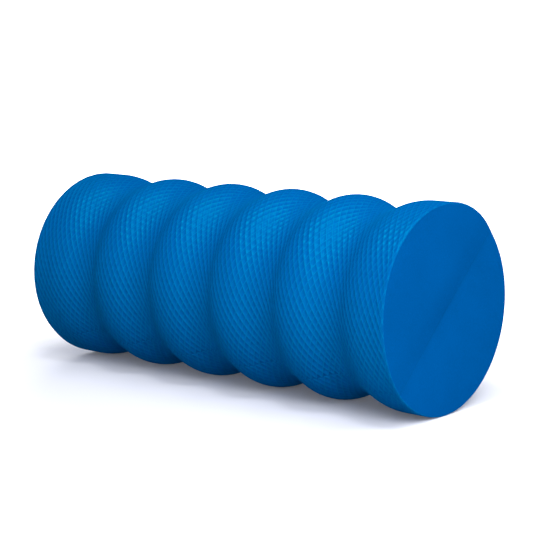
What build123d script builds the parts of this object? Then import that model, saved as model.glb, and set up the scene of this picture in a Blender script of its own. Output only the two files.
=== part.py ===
from build123d import *
import os
from math import asin, degrees

# Solid massage roller of moulded EVA foam, in millimetres. It lies on the floor with its axis along X.
# The origin is on the floor (Z = 0), below the middle of the roller, and +Z is up.
# Two half-round logs are bonded face to face on a plane through the axis. Each log is a soft foamed core
# in a dense moulded skin, embossed along the side and smooth on the ends.

# Driving dimensions
LENGTH = 329.0            # end face to end face
CROWN_RADIUS = 70.0       # roller radius at the top of every ridge
RIDGE_PITCH = 57.5        # distance between neighbouring grooves
GROOVES = 5               # one of them at the middle of the length
GROOVE_DEPTH = 8.5        # crown to groove bottom
CREST_ARC = 26.5          # outline radius of an inner ridge's crown
END_CREST = 32.0          # outermost groove to the crown of the end ridge
EDGE_ROUND = 1.8          # rounding between side and end face
SKIN = 2.5                # dense skin, side and ends
BOND = 0.3                # adhesive film between the two logs
PARTING_TILT = 43.0       # parting plane above the horizontal, seen from the +X end

# A ridge's flank is two tangent arcs, crest and groove, that drop GROOVE_DEPTH over half a pitch
half_length = LENGTH / 2
groove_bottom = CROWN_RADIUS - GROOVE_DEPTH
flank_arcs = ((RIDGE_PITCH / 2) ** 2 + GROOVE_DEPTH**2) / (2 * GROOVE_DEPTH)
groove_arc = flank_arcs - CREST_ARC
flank_turn = degrees(asin(RIDGE_PITCH / 2 / flank_arcs))
# The end ridge's inner flank is the same with a wider, flatter crest
end_flank_arcs = (END_CREST**2 + GROOVE_DEPTH**2) / (2 * GROOVE_DEPTH)
end_crest_arc = end_flank_arcs - groove_arc
end_flank_turn = degrees(asin(END_CREST / end_flank_arcs))

# Larger than the roller across its axis
AROUND = 3 * CROWN_RADIUS


def slab(start, stop):
    """Box that takes in everything between two places along the axis."""
    return Pos((start + stop) / 2, 0, 0) * Box(stop - start, AROUND, AROUND)


def roller_solid(inset, edge_round):
    """Ridged solid of revolution about X, with its whole surface moved inwards by inset."""
    path = [JernArc((0, groove_bottom - inset), (1, 0), groove_arc + inset, flank_turn)]

    def carry_on(radius, turn):
        path.append(JernArc(path[-1] @ 1, path[-1] % 1, radius, turn))

    for _ in range(GROOVES // 2 - 1):
        carry_on(CREST_ARC - inset, -2 * flank_turn)
        carry_on(groove_arc + inset, 2 * flank_turn)
    carry_on(CREST_ARC - inset, -2 * flank_turn)
    carry_on(groove_arc + inset, flank_turn + end_flank_turn)
    carry_on(end_crest_arc - inset, -end_flank_turn)
    end = half_length - inset
    path.append(Line(path[-1] @ 1, (end - edge_round, CROWN_RADIUS - inset)))
    if edge_round:
        carry_on(edge_round, -90)
    path.append(Polyline(path[-1] @ 1, (end, 0), (0, 0), path[0] @ 0))
    half_section = make_face(path)
    return revolve(half_section + mirror(half_section, Plane.YZ), Axis.X)


def halves(pieces):
    """Cut pieces on the parting plane, leaving room for the bond: all upper halves, all lower halves."""
    upper = [split(piece, bisect_by=parting.offset(BOND / 2), keep=Keep.TOP) for piece in pieces]
    lower = [split(piece, bisect_by=parting.offset(-BOND / 2), keep=Keep.BOTTOM) for piece in pieces]
    return Compound(upper), Compound(lower)


# The parting plane holds the roller's axis and rises towards +Y
parting = Plane.XY.rotated((PARTING_TILT, 0, 0))

roller = roller_solid(0, EDGE_ROUND)
core = roller_solid(SKIN, 0)
core_end = half_length - SKIN

# An end skin is a disc that fills the flat face; the side skin runs round it to the rim
near_skin = Pos((core_end + half_length) / 2, 0, 0) * Rot(0, 90, 0) * Cylinder(CROWN_RADIUS - EDGE_ROUND, SKIN)
far_skin = mirror(near_skin, Plane.YZ)

# The side skin is cut at the groove bottoms into one solid per ridge, which keeps the grooves open
groove_places = [RIDGE_PITCH * (i - (GROOVES - 1) / 2) for i in range(GROOVES)]
skin_cuts = [-half_length, *groove_places, half_length]
ridges = [roller & slab(start, stop) for start, stop in zip(skin_cuts, skin_cuts[1:])]
side_skin = [ridge - core - near_skin - far_skin for ridge in ridges]

pieces = {
    "core_half": [core],
    "side_skin": side_skin,
    "end_skin_near": [near_skin],
    "end_skin_far": [far_skin],
}
nodes = {"core_bond_film": roller & parting * Box(2 * LENGTH, AROUND, BOND)}
for name, shapes in pieces.items():
    nodes[f"{name}_upper"], nodes[f"{name}_lower"] = halves(shapes)

os.makedirs("parts", exist_ok=True)
for name, shape in nodes.items():
    export_step(Pos(0, 0, CROWN_RADIUS) * shape, f"parts/{name}.step")
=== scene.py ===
from math import cos, pi, radians, sin

import bmesh
import bpy
import numpy as np
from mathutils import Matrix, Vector, geometry


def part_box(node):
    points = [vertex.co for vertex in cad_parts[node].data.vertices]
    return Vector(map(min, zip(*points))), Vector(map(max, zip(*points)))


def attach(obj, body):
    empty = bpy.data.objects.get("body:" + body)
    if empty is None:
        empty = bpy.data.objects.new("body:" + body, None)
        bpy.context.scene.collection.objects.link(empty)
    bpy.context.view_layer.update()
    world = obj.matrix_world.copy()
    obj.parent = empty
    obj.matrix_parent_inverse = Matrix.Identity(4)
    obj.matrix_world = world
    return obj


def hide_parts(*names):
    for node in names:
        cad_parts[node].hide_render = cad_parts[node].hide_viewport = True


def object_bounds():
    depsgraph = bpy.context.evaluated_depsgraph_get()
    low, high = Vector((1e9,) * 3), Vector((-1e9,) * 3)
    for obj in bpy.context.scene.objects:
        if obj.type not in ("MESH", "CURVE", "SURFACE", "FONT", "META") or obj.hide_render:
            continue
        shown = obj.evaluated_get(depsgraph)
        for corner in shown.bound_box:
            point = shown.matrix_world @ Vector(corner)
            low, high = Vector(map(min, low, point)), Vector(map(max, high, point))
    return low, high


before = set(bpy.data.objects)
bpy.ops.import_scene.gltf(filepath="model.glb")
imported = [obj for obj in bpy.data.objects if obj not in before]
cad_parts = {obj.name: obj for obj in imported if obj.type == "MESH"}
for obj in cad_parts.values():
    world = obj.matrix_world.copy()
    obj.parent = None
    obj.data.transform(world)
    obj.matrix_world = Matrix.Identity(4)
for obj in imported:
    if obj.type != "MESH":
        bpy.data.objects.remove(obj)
cad_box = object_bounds()

# Sizes in metres. The roller's own size and its skin's thickness come from the frame; the rest of the outline
# and the place of the joint repeat the design.
HALF_LENGTH = cad_box[1].x
CROWN_RADIUS = cad_box[1].y
AXIS_HEIGHT = CROWN_RADIUS
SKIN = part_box("end_skin_near_upper")[1].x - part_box("end_skin_near_upper")[0].x
RIDGE_PITCH = 0.0575
GROOVES = 5
GROOVE_DEPTH = 0.0085
CREST_ARC = 0.0265
END_CREST = 0.032             # outermost groove to the crown of the end ridge
BOND = 0.0003                 # gap between the halves
PARTING_TILT = radians(43)

# Fine detail that only the visual pieces have
EDGE_ROUND = 0.001            # rounding of the rim
FIT = 0.00002                 # clearance between an end skin and the side skin round it
FILM_INSET = 0.00002          # how far the adhesive stays under the surface
FILM_HALF = 0.4 * BOND        # half the adhesive's thickness

# Embossed net: thin raised lines around long diamonds
CELL_LENGTH = 0.0042          # along the surface, from end to end
CELL_TURN = 2 * pi / 48       # around the axis
LINE_HEIGHT = 0.00035
LINE_TOP = 0.035              # half width of a line's flat top, in cells
LINE_FOOT = 0.117             # half width of a line at its foot, in cells
RIM_BEAD = 0.0004             # plain strip between the net and the rim
LOWER_SHIFT = 0.37            # how far the lower half's net is shifted along the roller, in cells

# End faces: gently domed, with a soft crease where the halves meet; the upper half rolls over to it steeply
DOME = 0.0013
CREASE_DEPTH = 0.0024
CREASE_POWER = 1.4            # shape of its sides: 1 is a fold, 2 a round valley
UPPER_ROLL = 0.0105           # its width on the upper half, and on the lower half
LOWER_DIP = 0.024
BOTTOM_SHIFT = 0.0015         # how far its lowest place lies into the lower half
HIGH_SPREAD = 0.9             # share by which it is wider at its high end, and at its low end
LOW_SPREAD = 0.3
LOW_FADE = 0.5                # share by which it is shallower at its low end

# How finely surfaces are divided
OUTLINE_SAMPLES = 13001
EDGE_STEPS = 4                # across the rounding of the rim
WALL_GRID = (79, 25)          # inner wall of a side skin, along it and round it
END_SPOKES = 181
END_RINGS = (49, 13)          # evenly spaced, and ever closer round the middle
FILM_GRID = (601, 61)         # along it and across it
SHARP_ANGLE = radians(60)

# Foam
CLOUD_SCALE = 18              # noise scale of the mottling, in cells per metre
ROUGHNESS_SPREAD = 0.05       # how far the grain changes the roughness, either way
GRAIN_HEIGHT = 0.0001
GLOSS_TINT = (0.0, 0.95, 1.0, 1.0)

# Stage
TARGET = (0.03, 0, 0.07)      # where the lamps aim
FLOOR_REACH = 12.0
# Pale floor with a bluish tint, a painted stand-in for the roller's blue light thrown into its shadow
FLOOR_COLOUR_WITH_PAINTED_BOUNCE = (0.7, 0.72, 0.8)
# The floor's glow is painted light on the floor, faint round the roller so that its shadow shows
GLOW_FROM = 0.14              # distance from the roller's middle where the floor's glow begins
GLOW_FULL = 0.36              # and where it is full
GLOW_LEAST = 0.05
BOUNCE_DEPTH = 0.0005         # how far the unseen floor lies below the one that is seen
BOUNCE = 0.95                 # its reflectance

flank_arcs = ((RIDGE_PITCH / 2) ** 2 + GROOVE_DEPTH**2) / (2 * GROOVE_DEPTH)
groove_arc = flank_arcs - CREST_ARC
end_flank_arcs = (END_CREST**2 + GROOVE_DEPTH**2) / (2 * GROOVE_DEPTH)
outer_groove = RIDGE_PITCH * (GROOVES - 1) / 2

# Unit vectors across the axis: along the parting plane, and out of it on the upper side
ALONG_PARTING = np.array([0, cos(PARTING_TILT), sin(PARTING_TILT)])
OUT_OF_PARTING = np.array([0, -sin(PARTING_TILT), cos(PARTING_TILT)])

# Angle that a half's share of the gap takes up at a crown
GAP_TURN = BOND / 2 / CROWN_RADIUS


# Outline
def flank_drop(from_crown, width, arcs):
    """Drop below the crown on a flank made of a crest arc and a groove arc that meet smoothly."""
    crest = arcs - groove_arc
    meet = crest * width / arcs
    s = np.clip(from_crown, 0, width)
    on_crest = crest - np.sqrt(np.maximum(crest**2 - s**2, 0))
    on_groove = GROOVE_DEPTH - groove_arc + np.sqrt(np.maximum(groove_arc**2 - (width - s) ** 2, 0))
    return np.where(s < meet, on_crest, on_groove)


def radius_at(x):
    """The roller's radius at a place along its axis."""
    x = np.abs(np.asarray(x, float))
    from_crown = np.abs(x % RIDGE_PITCH - RIDGE_PITCH / 2)
    inner = flank_drop(from_crown, RIDGE_PITCH / 2, flank_arcs)
    outer = flank_drop(outer_groove + END_CREST - x, END_CREST, end_flank_arcs)
    drop = np.where(x < outer_groove, inner, outer)
    into_edge = np.clip(x - (HALF_LENGTH - EDGE_ROUND), 0, EDGE_ROUND)
    return CROWN_RADIUS - drop - (EDGE_ROUND - np.sqrt(EDGE_ROUND**2 - into_edge**2))


def smooth_step(t):
    """Smooth rise from 0 to 1 while t goes from 0 to 1."""
    t = np.clip(t, 0, 1)
    return t * t * (3 - 2 * t)


def crease_drop(along, out):
    """How far an end face lies below its flat, at a place measured along and out of the parting plane."""
    rise = along / CROWN_RADIUS
    spread = 1 + HIGH_SPREAD * smooth_step(rise) + LOW_SPREAD * smooth_step(-rise)
    depth = CREASE_DEPTH * (1 - LOW_FADE * smooth_step(-rise))
    from_bottom = out + BOTTOM_SHIFT * spread
    width = np.where(from_bottom > 0, UPPER_ROLL, LOWER_DIP) * spread
    valley = depth * np.exp(-((np.abs(from_bottom) / width) ** CREASE_POWER))
    return valley + DOME * (out / CROWN_RADIUS) ** 2


# Place along the axis against distance along the ridged surface, both from the middle
X_TABLE = np.linspace(-HALF_LENGTH, HALF_LENGTH, OUTLINE_SAMPLES)
ARC_TABLE = np.concatenate([[0], np.cumsum(np.hypot(np.diff(X_TABLE), np.diff(radius_at(X_TABLE))))])
ARC_TABLE -= ARC_TABLE[-1] / 2
SIDE_REACH = ARC_TABLE[-1]


def polar_points(x, turn, radius):
    """Points from place along the axis, angle above the parting plane and radius."""
    x, turn, radius = np.broadcast_arrays(x, turn, radius)
    outward = np.cos(turn)[..., None] * ALONG_PARTING + np.sin(turn)[..., None] * OUT_OF_PARTING
    points = outward * radius[..., None]
    points[..., 0] = x
    points[..., 2] += AXIS_HEIGHT
    return points


def parting_points(x, along, out):
    """Points from place along the axis, and distances along and out of the parting plane."""
    x, along, out = np.broadcast_arrays(x, along, out)
    points = along[..., None] * ALONG_PARTING + out[..., None] * OUT_OF_PARTING
    points[..., 0] = x
    points[..., 2] += AXIS_HEIGHT
    return points


# Pieces
def new_piece(name, points, faces, material, node):
    """Mesh object that stands for a CAD node and rides on the roller's body."""
    mesh = bpy.data.meshes.new(name)
    mesh.from_pydata([tuple(p) for p in points], [], [tuple(int(i) for i in f) for f in faces])
    mesh.validate()
    shell = bmesh.new()
    shell.from_mesh(mesh)
    bmesh.ops.recalc_face_normals(shell, faces=shell.faces)
    shell.to_mesh(mesh)
    shell.free()
    mesh.shade_smooth()
    mesh.set_sharp_from_angle(angle=SHARP_ANGLE)
    mesh.materials.append(material)
    piece = bpy.data.objects.new(name, mesh)
    bpy.context.scene.collection.objects.link(piece)
    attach(piece, "root")
    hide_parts(node)
    return piece


def sheet_faces(rows, columns):
    """Faces of a thin closed sheet: a grid of points, the same grid behind it, and the border between."""
    behind = rows * columns
    faces = []
    for i in range(rows - 1):
        for j in range(columns - 1):
            k = i * columns + j
            quad = (k, k + 1, k + columns + 1, k + columns)
            faces += [quad, tuple(behind + q for q in reversed(quad))]
    border = list(range(columns)) + [i * columns + columns - 1 for i in range(1, rows)]
    border += [(rows - 1) * columns + j for j in range(columns - 2, -1, -1)]
    border += [i * columns for i in range(rows - 2, 0, -1)]
    faces += [(p, q, behind + q, behind + p) for p, q in zip(border, border[1:] + border[:1])]
    return faces


def embossed_net(shift):
    """Flat diamond net as a mesh: distance along the surface, turn round the axis, and 1 on the lines."""
    across_line = np.array([-LINE_TOP, LINE_TOP, LINE_FOOT, 1 - LINE_FOOT])
    raised = np.array([1.0, 1.0, 0.0, 0.0])
    reach = (2 * SIDE_REACH / CELL_LENGTH + 2 * pi / CELL_TURN) / 2
    lines = np.arange(int(-reach) - 3, int(reach) + 3)
    line_place = (lines[:, None] + across_line[None]).ravel()
    line_raised = np.tile(raised, len(lines))
    # Two families of lines cross: one keeps a the same, the other b
    a, b = np.meshgrid(line_place, line_place, indexing="ij")
    arc = ((a + b) / 2 + shift) * CELL_LENGTH
    turn = (b - a) / 2 * CELL_TURN
    height = np.maximum(line_raised[:, None], line_raised[None])

    margin = CELL_TURN / 2
    inside = (np.abs(arc) < SIDE_REACH + CELL_LENGTH) & (turn > -margin) & (turn < pi + margin)
    kept = inside[:-1, :-1] & inside[1:, :-1] & inside[1:, 1:] & inside[:-1, 1:]
    index = np.arange(a.size).reshape(a.shape)
    quads = np.stack([index[:-1, :-1], index[1:, :-1], index[1:, 1:], index[:-1, 1:]], -1)[kept]
    used, quads = np.unique(quads, return_inverse=True)
    net = bmesh.new()
    corners = np.stack([arc.ravel()[used], turn.ravel()[used], height.ravel()[used]], -1)
    verts = [net.verts.new(c) for c in corners]
    for quad in quads.reshape(-1, 4):
        net.faces.new([verts[i] for i in quad])
    return net


def cut(mesh, point, normal, drop):
    """Cut a mesh on a plane, and perhaps drop what lies beyond it."""
    everything = mesh.verts[:] + mesh.edges[:] + mesh.faces[:]
    bmesh.ops.bisect_plane(
        mesh, geom=everything, dist=1e-7, plane_co=point, plane_no=normal, clear_outer=drop
    )


def half_net(shift):
    """One half's share of the flat net, out to the joint and the rims, with cuts that keep the rims round."""
    net = embossed_net(shift)
    cut(net, (0, GAP_TURN, 0), (0, -1, 0), True)
    cut(net, (0, pi - GAP_TURN, 0), (0, 1, 0), True)
    for end in (-1, 1):
        cut(net, (end * SIDE_REACH, 0, 0), (end, 0, 0), True)
        for step in range(1, EDGE_STEPS + 1):
            into_edge = step / EDGE_STEPS * pi / 2 * EDGE_ROUND
            cut(net, (end * (SIDE_REACH - into_edge), 0, 0), (end, 0, 0), False)
    return net


def boundary_loop(mesh):
    """The open edge of a patch, as vertices in order."""
    neighbours = {}
    for edge in mesh.edges:
        if edge.is_boundary:
            v, w = edge.verts
            neighbours.setdefault(v, []).append(w)
            neighbours.setdefault(w, []).append(v)
    start = next(iter(neighbours))
    loop, previous, here = [start], start, neighbours[start][0]
    while here is not start:
        loop.append(here)
        onward = neighbours[here]
        previous, here = here, onward[0] if onward[0] is not previous else onward[1]
    return loop


def on_ridges(x, turn, raised, side):
    """Points of the net wrapped on the ridges, with its cells sunk below its lines."""
    slope = np.interp(x, X_TABLE, np.gradient(radius_at(X_TABLE), X_TABLE))
    net_end = HALF_LENGTH - EDGE_ROUND - RIM_BEAD
    sunk = LINE_HEIGHT * (1 - raised) * smooth_step((net_end - np.abs(x)) / RIM_BEAD)
    sunk /= np.sqrt(1 + slope**2)
    radius = radius_at(x) - sunk
    # The rim follows the end face's dome and crease, which fade out along the side
    drop = crease_drop(radius * np.cos(turn), radius * np.sin(turn) * side)
    near_end = smooth_step((np.abs(x) - HALF_LENGTH) / (3 * SKIN) + 1)
    return polar_points(x + slope * sunk - np.sign(x) * drop * near_end, turn * side, radius)


def inner_wall(rim_x, rim_turn, side):
    """Smooth wall against the core: points, faces, the border's steps, and the point at each step."""
    core_end = HALF_LENGTH - SKIN
    columns, rows = WALL_GRID
    grid_x, grid_turn = np.meshgrid(
        np.linspace(-core_end, core_end, columns)[1:-1], np.linspace(0, pi, rows)[1:-1]
    )
    flat_x = np.concatenate([np.clip(rim_x, -core_end, core_end), grid_x.ravel()])
    flat_turn = np.concatenate([rim_turn, grid_turn.ravel()])
    flat = [Vector((px, pt * CROWN_RADIUS)) for px, pt in zip(flat_x, flat_turn)]
    count = len(rim_x)
    ring = [(i, (i + 1) % count) for i in range(count)]
    flat_points, _, faces, sources, _, _ = geometry.delaunay_2d_cdt(flat, ring, [], 1, 1e-9)
    x, turn = np.array(flat_points).T
    points = polar_points(x, turn / CROWN_RADIUS * side, radius_at(x) - SKIN)
    point_of = {i: k for k, own in enumerate(sources) for i in own if i < count}
    return points, faces, ring, point_of


def side_skin(name, side, shift, material, node):
    """One half's embossed side skin as a closed solid: net outside, smooth inside against the core."""
    net = half_net(shift)
    arc, turn, raised = np.array([v.co for v in net.verts]).T
    x = np.interp(arc, ARC_TABLE, X_TABLE)
    outside = on_ridges(x, turn, raised, side)
    net.verts.index_update()
    rim = [v.index for v in boundary_loop(net)]
    inside, inside_faces, ring, point_of = inner_wall(x[rim], turn[rim], side)

    first = len(outside)
    faces = [[v.index for v in f.verts] for f in net.faces]
    faces += [[first + i for i in f] for f in inside_faces]
    # Border between the two, where a face may shrink to a triangle
    for i, j in ring:
        corners = [rim[i], rim[j], first + point_of[j], first + point_of[i]]
        faces.append(list(dict.fromkeys(corners)))
    net.free()
    piece = new_piece(name, np.concatenate([outside, inside]), faces, material, node)
    # Marks the net lines, which the embossed material paints paler as a painted highlight
    on_line = piece.data.attributes.new("on_line", "FLOAT", "POINT")
    on_line.data.foreach_set("value", np.concatenate([raised, np.zeros(len(inside))]).astype(np.float32))


def end_skin(name, end, side, material, node):
    """One half's smooth end skin: a thin half disc, creased where it meets the other half."""
    turns = np.linspace(GAP_TURN, pi - GAP_TURN, END_SPOKES)
    rim, middle, hub = CROWN_RADIUS - EDGE_ROUND - FIT, 0.03, 0.0005
    even, shrinking = END_RINGS
    radii = np.concatenate([np.linspace(rim, middle, even), np.geomspace(middle, hub, shrinking)[1:]])
    r, t = np.meshgrid(radii, turns, indexing="ij")
    # The straight edge stays out of the parting plane by its half of the gap
    along, out = r * np.cos(t), np.maximum(r * np.sin(t), BOND / 2)
    x = HALF_LENGTH - crease_drop(along, out * side)
    front = parting_points(x * end, along, out * side).reshape(-1, 3)
    core_end = HALF_LENGTH - SKIN
    shrink = (CROWN_RADIUS - SKIN - FIT) / rim
    back_out = np.maximum(out * shrink, BOND / 2) * side
    back = parting_points(core_end * end, along * shrink, back_out).reshape(-1, 3)
    new_piece(name, np.concatenate([front, back]), sheet_faces(*r.shape), material, node)


def bond_film(name, material, node):
    """Thin adhesive sheet between the halves, a little back from the surface all round."""
    rows, columns = FILM_GRID
    u = np.linspace(-1, 1, columns)
    t = np.linspace(-1, 1, rows)
    end_x = HALF_LENGTH - crease_drop(u * CROWN_RADIUS, 0 * u) - FILM_INSET
    x = t[:, None] * end_x[None]
    along = u[None] * (radius_at(x) - LINE_HEIGHT - FILM_INSET)
    both_sides = [parting_points(x, along, out).reshape(-1, 3) for out in (FILM_HALF, -FILM_HALF)]
    new_piece(name, np.concatenate(both_sides), sheet_faces(rows, columns), material, node)


# Materials
def foam_material(name, colour, roughness, grain_size, grain, mottle, shine, painted_line_highlight=None):
    """Moulded EVA foam: plain colour with faint mottling, fine grain and a soft gloss in the foam's hue."""
    material = bpy.data.materials.new(name)
    material.use_nodes = True
    nodes, links = material.node_tree.nodes, material.node_tree.links
    body = nodes["Principled BSDF"]
    body.inputs["Specular IOR Level"].default_value = 0
    gloss = nodes.new("ShaderNodeBsdfGlossy")
    gloss.inputs["Color"].default_value = GLOSS_TINT
    surface = nodes.new("ShaderNodeMixShader")
    surface.inputs["Fac"].default_value = shine
    links.new(body.outputs["BSDF"], surface.inputs[1])
    links.new(gloss.outputs["BSDF"], surface.inputs[2])
    links.new(surface.outputs["Shader"], nodes["Material Output"].inputs["Surface"])

    place = nodes.new("ShaderNodeTexCoord")
    clouds = nodes.new("ShaderNodeTexNoise")
    clouds.inputs["Scale"].default_value = CLOUD_SCALE
    clouds.inputs["Detail"].default_value = 3
    specks = nodes.new("ShaderNodeTexNoise")
    specks.inputs["Scale"].default_value = grain_size
    specks.inputs["Detail"].default_value = 2
    for texture in (clouds, specks):
        links.new(place.outputs["Object"], texture.inputs["Vector"])

    both = nodes.new("ShaderNodeMix")
    both.data_type = "FLOAT"
    both.inputs["Factor"].default_value = 0.5
    links.new(clouds.outputs["Fac"], both.inputs["A"])
    links.new(specks.outputs["Fac"], both.inputs["B"])
    tone = nodes.new("ShaderNodeValToRGB")
    dark, light = tone.color_ramp.elements
    dark.position = 0.3
    light.position = 0.7
    dark.color = [c * (1 - mottle) for c in colour] + [1]
    light.color = [min(c * (1 + mottle), 1) for c in colour] + [1]
    links.new(both.outputs["Result"], tone.inputs["Fac"])
    foam_colour = tone.outputs["Color"]
    if painted_line_highlight:
        # Painted highlight: net lines a little paler than the cells between them, standing in for light on
        # the raised lines and shade in the sunk cells
        on_line = nodes.new("ShaderNodeAttribute")
        on_line.attribute_name = "on_line"
        net = nodes.new("ShaderNodeMix")
        net.data_type = "RGBA"
        links.new(on_line.outputs["Fac"], net.inputs["Factor"])
        links.new(foam_colour, net.inputs["A"])
        net.inputs["B"].default_value = (*painted_line_highlight, 1)
        foam_colour = net.outputs["Result"]
    links.new(foam_colour, body.inputs["Base Color"])

    satin = nodes.new("ShaderNodeMapRange")
    satin.inputs["To Min"].default_value = roughness - ROUGHNESS_SPREAD
    satin.inputs["To Max"].default_value = roughness + ROUGHNESS_SPREAD
    links.new(specks.outputs["Fac"], satin.inputs["Value"])
    bump = nodes.new("ShaderNodeBump")
    bump.inputs["Strength"].default_value = grain
    bump.inputs["Distance"].default_value = GRAIN_HEIGHT
    links.new(specks.outputs["Fac"], bump.inputs["Height"])
    for shader in (body, gloss):
        links.new(satin.outputs["Result"], shader.inputs["Roughness"])
        links.new(bump.outputs["Normal"], shader.inputs["Normal"])
    return material


# Stage
def floor_plane(name, height, colour):
    """Wide matt square at a height."""
    mesh = bpy.data.meshes.new(name)
    corners = [(x * FLOOR_REACH, y * FLOOR_REACH, height) for x, y in ((-1, -1), (1, -1), (1, 1), (-1, 1))]
    mesh.from_pydata(corners, [], [(0, 1, 2, 3)])
    material = bpy.data.materials.new(name)
    material.use_nodes = True
    shader = material.node_tree.nodes["Principled BSDF"]
    shader.inputs["Base Color"].default_value = (*colour, 1)
    shader.inputs["Roughness"].default_value = 0.9
    shader.inputs["Specular IOR Level"].default_value = 0
    mesh.materials.append(material)
    piece = bpy.data.objects.new(name, mesh)
    bpy.context.scene.collection.objects.link(piece)
    return piece


def floor():
    """Pale floor, matt under the roller and glowing further out with painted light, which lights nothing. An
    unseen matt one just below it throws light back at the roller."""
    seen = floor_plane("studio_floor", 0, FLOOR_COLOUR_WITH_PAINTED_BOUNCE)
    seen.visible_diffuse = False
    seen.visible_glossy = False
    bounce = floor_plane("studio_bounce", -BOUNCE_DEPTH, (BOUNCE, BOUNCE, BOUNCE))
    bounce.visible_camera = False
    nodes, links = seen.active_material.node_tree.nodes, seen.active_material.node_tree.links
    shader = nodes["Principled BSDF"]
    shader.inputs["Emission Color"].default_value = (1, 1, 1, 1)
    place = nodes.new("ShaderNodeTexCoord")
    distance = nodes.new("ShaderNodeVectorMath")
    distance.operation = "LENGTH"
    links.new(place.outputs["Object"], distance.inputs[0])
    # Painted light: the floor glows more the further it is from the roller, leaving the roller's shadow dim
    glow = nodes.new("ShaderNodeMapRange")
    glow.interpolation_type = "SMOOTHSTEP"
    glow.inputs["From Min"].default_value = GLOW_FROM
    glow.inputs["From Max"].default_value = GLOW_FULL
    glow.inputs["To Min"].default_value = GLOW_LEAST
    links.new(distance.outputs["Value"], glow.inputs["Value"])
    links.new(glow.outputs["Result"], shader.inputs["Emission Strength"])


def softbox(name, place, size, power, shine=True):
    """Square soft light that faces the roller; without shine it only fills."""
    data = bpy.data.lights.new(name, "AREA")
    data.size = size
    data.energy = power
    lamp = bpy.data.objects.new(name, data)
    lamp.visible_camera = False
    lamp.visible_glossy = shine
    lamp.location = place
    lamp.rotation_euler = (Vector(place) - Vector(TARGET)).to_track_quat("Z", "Y").to_euler()
    bpy.context.scene.collection.objects.link(lamp)


def surroundings(horizon, overhead, wall_top, room_bottom):
    """White studio walls up to a low height, and a dimmer room above them, with heights in degrees."""
    world = bpy.data.worlds.new("studio")
    world.use_nodes = True
    nodes, links = world.node_tree.nodes, world.node_tree.links
    nodes["Background"].inputs["Color"].default_value = (1, 1, 1, 1)
    direction = nodes.new("ShaderNodeTexCoord")
    parts = nodes.new("ShaderNodeSeparateXYZ")
    links.new(direction.outputs["Generated"], parts.inputs["Vector"])
    height = nodes.new("ShaderNodeMapRange")
    height.interpolation_type = "SMOOTHSTEP"
    height.inputs["From Min"].default_value = sin(radians(wall_top))
    height.inputs["From Max"].default_value = sin(radians(room_bottom))
    height.inputs["To Min"].default_value = horizon
    height.inputs["To Max"].default_value = overhead
    links.new(parts.outputs["Z"], height.inputs["Value"])
    links.new(height.outputs["Result"], nodes["Background"].inputs["Strength"])
    bpy.context.scene.world = world


def camera(azimuth, elevation, distance, aim, lens):
    """The scene's camera, at angles in degrees: azimuth from -Y towards +X, and elevation above the floor."""
    a, e = radians(azimuth), radians(elevation)
    away = Vector((sin(a) * cos(e), -cos(a) * cos(e), sin(e)))
    data = bpy.data.cameras.new("camera")
    data.lens = lens
    data.sensor_width = 36
    eye = bpy.data.objects.new("camera", data)
    eye.location = Vector(aim) + away * distance
    eye.rotation_euler = away.to_track_quat("Z", "Y").to_euler()
    bpy.context.scene.collection.objects.link(eye)
    bpy.context.scene.camera = eye


embossed = foam_material(
    "embossed_foam_skin", (0.0, 0.061, 0.25), roughness=0.36, grain_size=1200, grain=0.5, mottle=0.055,
    shine=0.045, painted_line_highlight=(0.0, 0.088, 0.282),
)
smooth = foam_material(
    "smooth_foam_skin", (0.0, 0.064, 0.25), roughness=0.6, grain_size=1000, grain=1.0, mottle=0.12, shine=0.01
)
core = foam_material(
    "foam_core", (0.0, 0.073, 0.255), roughness=0.8, grain_size=900, grain=1.0, mottle=0.12, shine=0.01
)
glue = foam_material(
    "bond_adhesive", (0.0, 0.05, 0.19), roughness=0.6, grain_size=600, grain=0.5, mottle=0.1, shine=0.02
)

for half, side, shift in (("upper", 1, 0.0), ("lower", -1, LOWER_SHIFT)):
    side_skin(f"embossed_skin_{half}", side, shift, embossed, f"side_skin_{half}")
    for end_name, end in (("near", 1), ("far", -1)):
        end_skin(f"smooth_end_{end_name}_{half}", end, side, smooth, f"end_skin_{end_name}_{half}")
    core_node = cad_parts[f"core_half_{half}"]
    core_node.data.materials.clear()
    core_node.data.materials.append(core)
bond_film("adhesive_film", glue, "core_bond_film")

floor()
surroundings(horizon=1.05, overhead=0.25, wall_top=6, room_bottom=25)
softbox("key_softbox", (0.24, -0.42, 1.3), size=0.25, power=5.0)
softbox("near_softbox", (0.3, 0.0, 0.6), size=0.45, power=1.4)
softbox("top_softbox", (-0.5, 0.0, 1.0), size=0.45, power=1.2)
softbox("left_softbox", (-0.1, -0.8, 0.9), size=0.5, power=1.4, shine=False)
softbox("front_softbox", (0.7, -0.5, 0.6), size=0.45, power=7.0, shine=False)
softbox("back_softbox", (0.7, 0.6, 0.6), size=0.45, power=2.5, shine=False)
softbox("low_softbox", (0.55, -0.65, 0.18), size=0.5, power=2.8, shine=False)
softbox("rear_softbox", (-1.2, 1.25, 0.5), size=0.6, power=15.0, shine=False)
camera(azimuth=41.33, elevation=8.46, distance=1.0771, aim=(0.0034, 0.0054, 0.0822), lens=101.6)
bpy.context.scene.view_settings.view_transform = "Standard"
